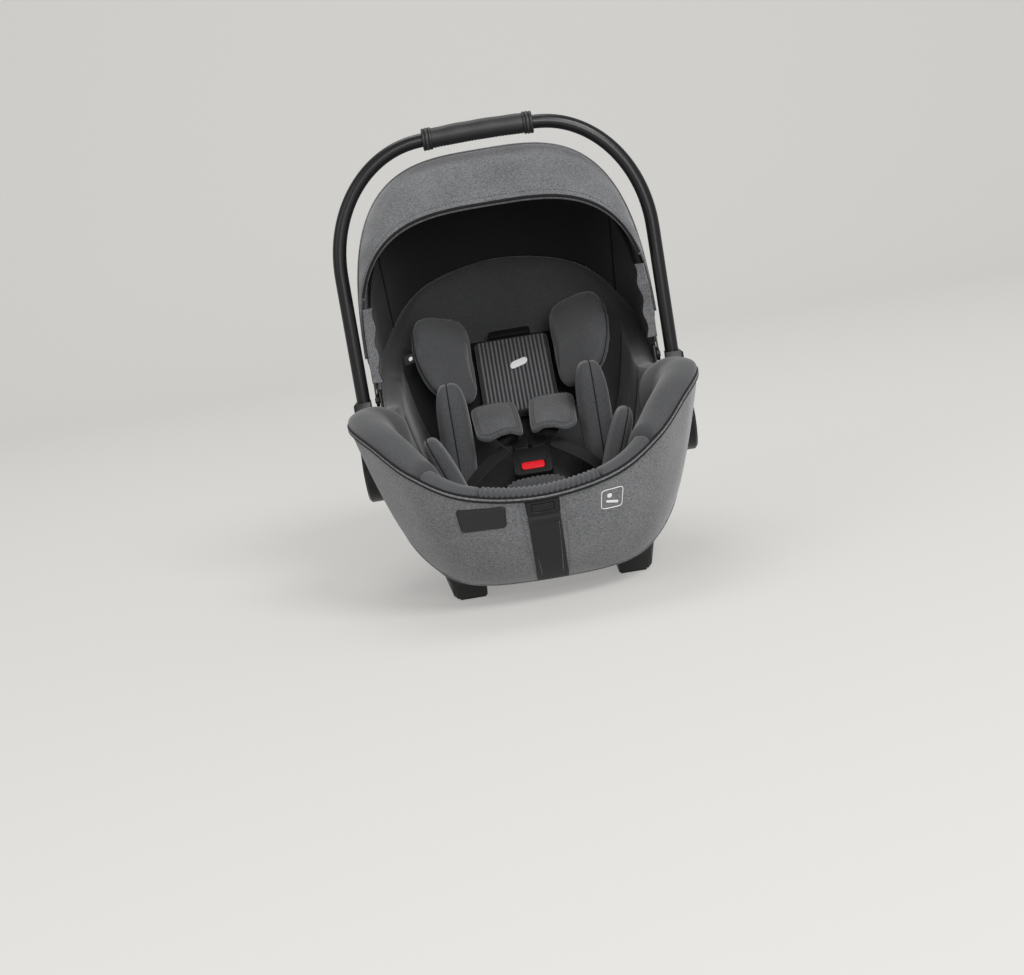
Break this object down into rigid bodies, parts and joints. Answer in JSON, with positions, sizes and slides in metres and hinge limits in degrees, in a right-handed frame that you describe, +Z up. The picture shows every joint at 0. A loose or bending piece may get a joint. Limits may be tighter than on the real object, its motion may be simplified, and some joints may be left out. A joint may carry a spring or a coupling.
{
  "type": "infant car seat",
  "caption": "Rear-facing infant car seat carrier with padded bucket shell, swinging carry handle, folding canopy, sliding headrest, harness and rocker runners.",
  "frame": {"origin": "centre of the plan outline, on the floor that the foot pads rest on", "axes": "+X towards the right side of the shell seen from its open foot end, -Y towards the foot end, +Z up"},
  "size_m": [0.442, 0.6418, 0.5906],
  "materials": {
    "shell_plastic": "satin",
    "liner_foam": "matte",
    "jersey": "matte",
    "heather_fabric": "matte",
    "bar_steel": "satin",
    "foot_rubber": "matte",
    "handle_plastic": "satin",
    "handle_metal": "satin",
    "grip_leather": "satin",
    "frame_plastic": "satin",
    "buckle_plastic": "gloss",
    "buckle_red": "satin",
    "webbing": "matte"
  },
  "bodies": {
    "shell": {"outer_shell": "shell_plastic", "foam_liner": "liner_foam", "seat_cover": "jersey", "front_skirt": "heather_fabric", "wing_pad_right": "jersey", "wing_pad_left": "jersey", "front_rim_pad": "jersey", "runner_right": "shell_plastic", "runner_left": "shell_plastic", "front_lock_bar": "bar_steel", "rear_lock_bar": "bar_steel", "front_foot_pad_right": "foot_rubber", "front_foot_pad_left": "foot_rubber", "rear_foot_pad_right": "foot_rubber", "rear_foot_pad_left": "foot_rubber", "hub_housing_right": "shell_plastic", "hub_housing_left": "shell_plastic", "pivot_pin_right": "bar_steel", "pivot_pin_left": "bar_steel", "canopy_mount_right": "frame_plastic", "canopy_mount_left": "frame_plastic", "buckle_body": "buckle_plastic", "buckle_tongue_right": "buckle_plastic", "buckle_tongue_left": "buckle_plastic", "shoulder_strap_right": "webbing", "shoulder_strap_left": "webbing", "lap_strap_right": "webbing", "lap_strap_left": "webbing", "crotch_strap": "webbing", "shoulder_pad_right": "heather_fabric", "shoulder_pad_left": "heather_fabric", "crotch_pad": "jersey", "body_bolster_right": "jersey", "body_bolster_left": "jersey", "hip_bolster_right": "jersey", "hip_bolster_left": "jersey", "adjuster_strap": "webbing", "adjuster_housing": "frame_plastic", "release_housing": "shell_plastic"},
    "handle": {"handle_tube": "handle_metal", "grip_sleeve": "grip_leather", "grip_cuff_right": "grip_leather", "grip_cuff_left": "grip_leather", "handle_end_right": "handle_plastic", "handle_end_left": "handle_plastic"},
    "handle_button_right": {"handle_button_right": "handle_plastic"},
    "handle_button_left": {"handle_button_left": "handle_plastic"},
    "canopy_front": {"canopy_front_bow": "frame_plastic", "canopy_visor": "heather_fabric", "canopy_hood": "heather_fabric"},
    "canopy_mid": {"canopy_mid_bow": "frame_plastic"},
    "headrest": {"headrest_core": "frame_plastic", "headrest_pad": "jersey", "headrest_wing_right": "jersey", "headrest_wing_left": "jersey"},
    "headrest_release": {"headrest_release": "frame_plastic"},
    "buckle_button": {"buckle_button": "buckle_red"},
    "adjuster_lever": {"adjuster_lever": "frame_plastic"},
    "release_grip": {"release_grip": "frame_plastic"}
  },
  "joints": [
    {"name": "handle_swing", "type": "hinge", "parent": "shell", "child": "handle", "pos_m": [0, 0.008, 0.168], "axis": [-1, 0, 0], "range_deg": [0, 105]},
    {"name": "handle_button_right_press", "type": "slide", "parent": "handle", "child": "handle_button_right", "axis": [-1, 0, 0], "range_m": [0, 0.004], "stiffness_N_per_m": 400, "springref_m": -0.003},
    {"name": "handle_button_left_press", "type": "slide", "parent": "handle", "child": "handle_button_left", "axis": [1, 0, 0], "range_m": [0, 0.004], "stiffness_N_per_m": 400, "springref_m": -0.003},
    {"name": "canopy_fold", "type": "hinge", "parent": "shell", "child": "canopy_front", "pos_m": [0, 0.014, 0.25], "axis": [-1, 0, 0], "range_deg": [0, 50], "deforming": ["canopy_hood"]},
    {"name": "canopy_mid_fold", "type": "hinge", "parent": "shell", "child": "canopy_mid", "pos_m": [0, 0.014, 0.25], "axis": [-1, 0, 0], "range_deg": [0, 31.5]},
    {"name": "headrest_height", "type": "slide", "parent": "shell", "child": "headrest", "axis": [0, 0.7547, 0.6561], "range_m": [0, 0.06], "deforming": ["shoulder_strap_right", "shoulder_strap_left"]},
    {"name": "headrest_release_pull", "type": "slide", "parent": "headrest", "child": "headrest_release", "axis": [0, 0.7547, 0.6561], "range_m": [0, 0.006], "stiffness_N_per_m": 300, "springref_m": -0.004},
    {"name": "buckle_press", "type": "slide", "parent": "shell", "child": "buckle_button", "axis": [0, 0.6157, -0.788], "range_m": [0, 0.003], "stiffness_N_per_m": 600, "springref_m": -0.003},
    {"name": "adjuster_press", "type": "slide", "parent": "shell", "child": "adjuster_lever", "axis": [0, 0.8995, 0.437], "range_m": [0, 0.0015], "stiffness_N_per_m": 500, "springref_m": -0.003},
    {"name": "release_pull", "type": "slide", "parent": "shell", "child": "release_grip", "axis": [0, 0.3771, 0.9262], "range_m": [0, 0.012], "stiffness_N_per_m": 350, "springref_m": -0.005}
  ],
  "couplings": [
    {"joint": "canopy_mid_fold", "follows": "canopy_fold", "ratio": 0.62}
  ]
}
